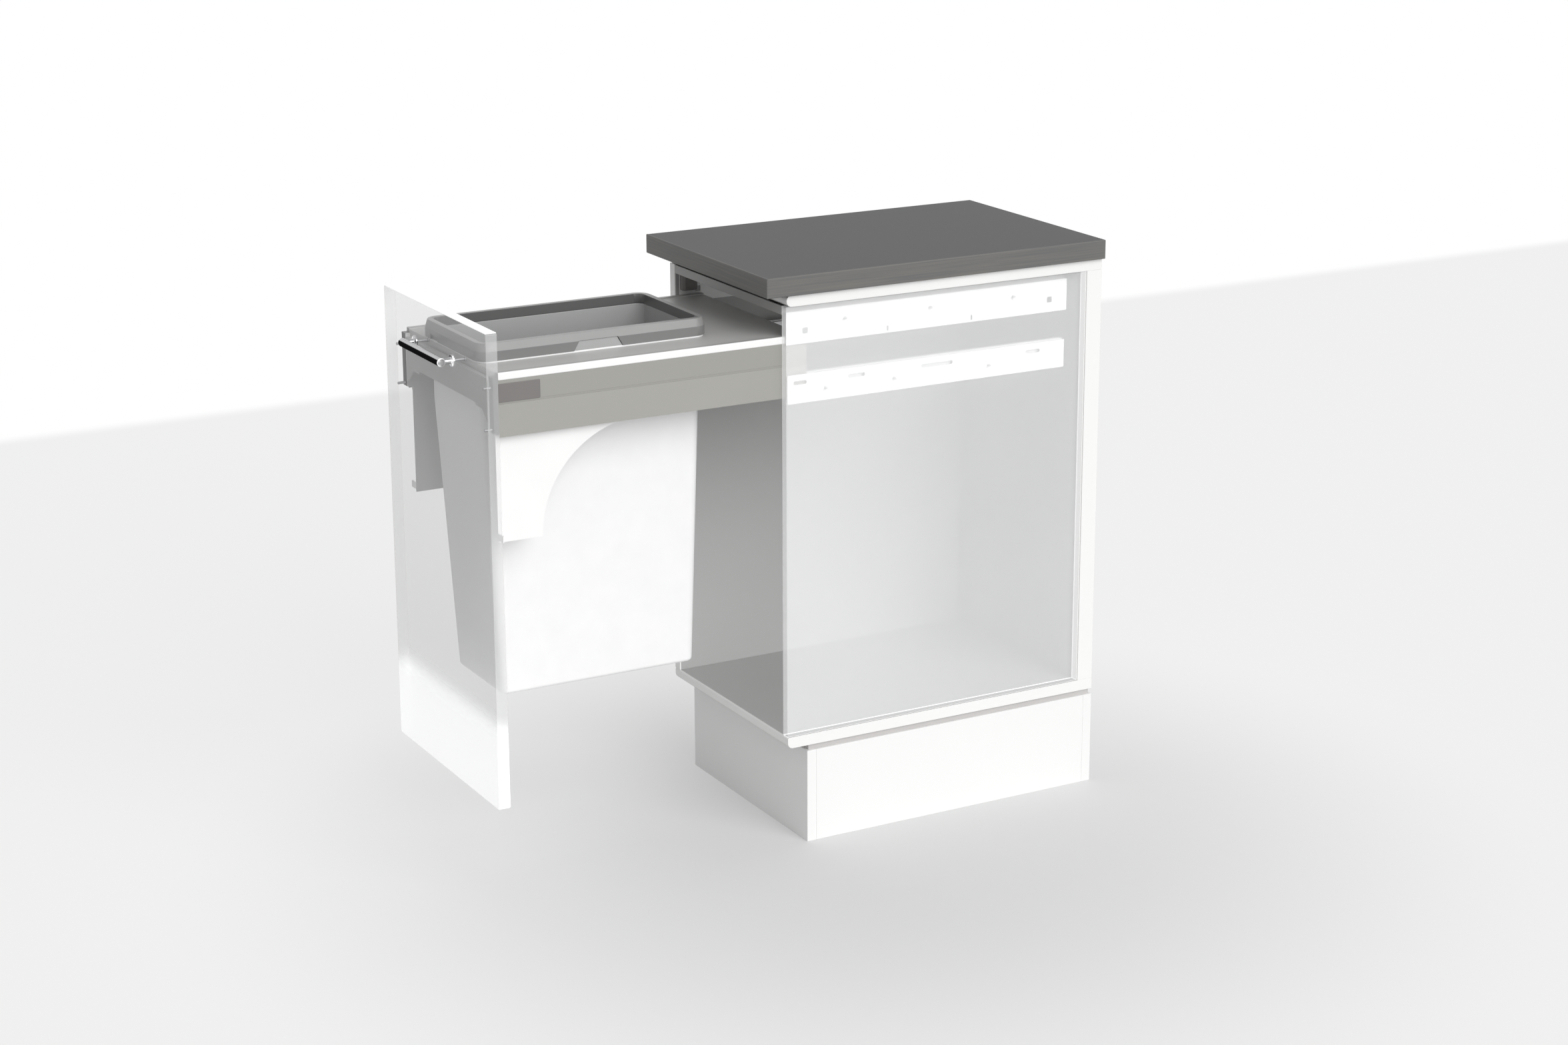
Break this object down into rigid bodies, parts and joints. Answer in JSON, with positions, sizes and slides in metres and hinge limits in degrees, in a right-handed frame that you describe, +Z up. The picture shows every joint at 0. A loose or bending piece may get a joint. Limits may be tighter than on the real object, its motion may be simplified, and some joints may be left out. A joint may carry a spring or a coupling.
{
  "type": "pull-out trash cabinet",
  "caption": "narrow kitchen base cabinet with a plinth and worktop; a full-height front on telescopic runners pulls out a frame that holds a tall waste bin",
  "frame": {"origin": "floor level, midway across the unit, on the wall plane that the rear of the carcass and plinth stands against", "axes": "+Z up through the worktop, +Y into the wall behind the unit, so the front and its pull-out face -Y; +X is the side with the clear panel"},
  "size_m": [0.396, 1.07, 0.9],
  "materials": {
    "worktop_laminate": "grey laminate on board, fine even speckle, matt",
    "worktop_edging": "grey edge banding with faint lengthwise streaks",
    "white_board": "white melamine board, satin",
    "clear_sheet": "clear sheet with a faint white veil",
    "frosted_front": "clear panel, frosted in its lower part",
    "cover_board": "light grey melamine",
    "white_steel": "white powder coat",
    "zinc_steel": "bright zinc plate",
    "grey_steel": "warm grey powder coat",
    "dark_trim": "dark grey moulded plastic",
    "grey_plate": "grey powder coat, satin",
    "seal_strip": "light warm grey strip",
    "black_plastic": "black moulded plastic",
    "plinth_board": "white melamine board, satin",
    "white_plastic": "white moulded plastic",
    "ring_plastic": "dark grey moulded plastic",
    "chrome": "polished chrome",
    "screw_steel": "zinc plated steel"
  },
  "bodies": {
    "cabinet": {"back_panel": "white_board", "bin_cover": "cover_board", "bottom_panel": "white_board", "cabinet_runner_far": "white_steel", "cabinet_runner_near": "white_steel", "far_side_panel": "white_board", "foot_front_far": "black_plastic", "foot_front_near": "black_plastic", "foot_rear_far": "black_plastic", "foot_rear_near": "black_plastic", "leg_front_far": "black_plastic", "leg_front_near": "black_plastic", "leg_rear_far": "black_plastic", "leg_rear_near": "black_plastic", "near_side_panel": "clear_sheet", "plinth_back": "plinth_board", "plinth_clips": "black_plastic", "plinth_far": "plinth_board", "plinth_front": "plinth_board", "plinth_near": "plinth_board", "plinth_seal": "seal_strip", "rail_stop_far": "dark_trim", "rail_stop_near": "dark_trim", "rear_post_far": "white_board", "rear_post_near": "white_board", "rear_rail_bottom": "white_board", "rear_rail_top": "white_board", "runner_screws": "screw_steel", "top_panel": "white_board", "upper_rail_far": "white_steel", "upper_rail_near": "white_steel", "upper_rail_screws": "screw_steel", "worktop": "worktop_laminate", "worktop_edge_far": "worktop_edging", "worktop_edge_front": "worktop_edging", "worktop_edge_near": "worktop_edging", "worktop_screws": "screw_steel"},
    "pullout_frame": {"front_panel": "frosted_front", "handle_bar": "chrome", "handle_leg_near": "chrome", "handle_leg_far": "chrome", "handle_screws": "screw_steel", "drawer_side_near": "grey_steel", "drawer_side_far": "grey_steel", "cover_cap_near": "dark_trim", "cover_cap_far": "dark_trim", "side_top_rail_near": "white_steel", "side_top_rail_far": "white_steel", "front_bracket_near": "white_steel", "front_bracket_far": "white_steel", "bracket_screws": "screw_steel", "front_cross_rail": "white_steel", "top_plate": "grey_plate", "drawer_back": "grey_steel", "drawer_runner_near": "zinc_steel", "drawer_runner_far": "zinc_steel", "bin": "white_plastic", "bin_ring": "ring_plastic"},
    "runner_near": {"middle_runner_near": "zinc_steel"},
    "runner_far": {"middle_runner_far": "zinc_steel"}
  },
  "joints": [
    {"name": "pullout", "type": "slide", "parent": "cabinet", "child": "pullout_frame", "axis": [0, 1, 0], "range_m": [0, 0.46]},
    {"name": "middle_runner_near_slide", "type": "slide", "parent": "cabinet", "child": "runner_near", "axis": [0, 1, 0], "range_m": [0, 0.23]},
    {"name": "middle_runner_far_slide", "type": "slide", "parent": "cabinet", "child": "runner_far", "axis": [0, 1, 0], "range_m": [0, 0.23]}
  ],
  "couplings": [
    {"joint": "middle_runner_near_slide", "follows": "pullout", "ratio": 0.5},
    {"joint": "middle_runner_far_slide", "follows": "pullout", "ratio": 0.5}
  ]
}
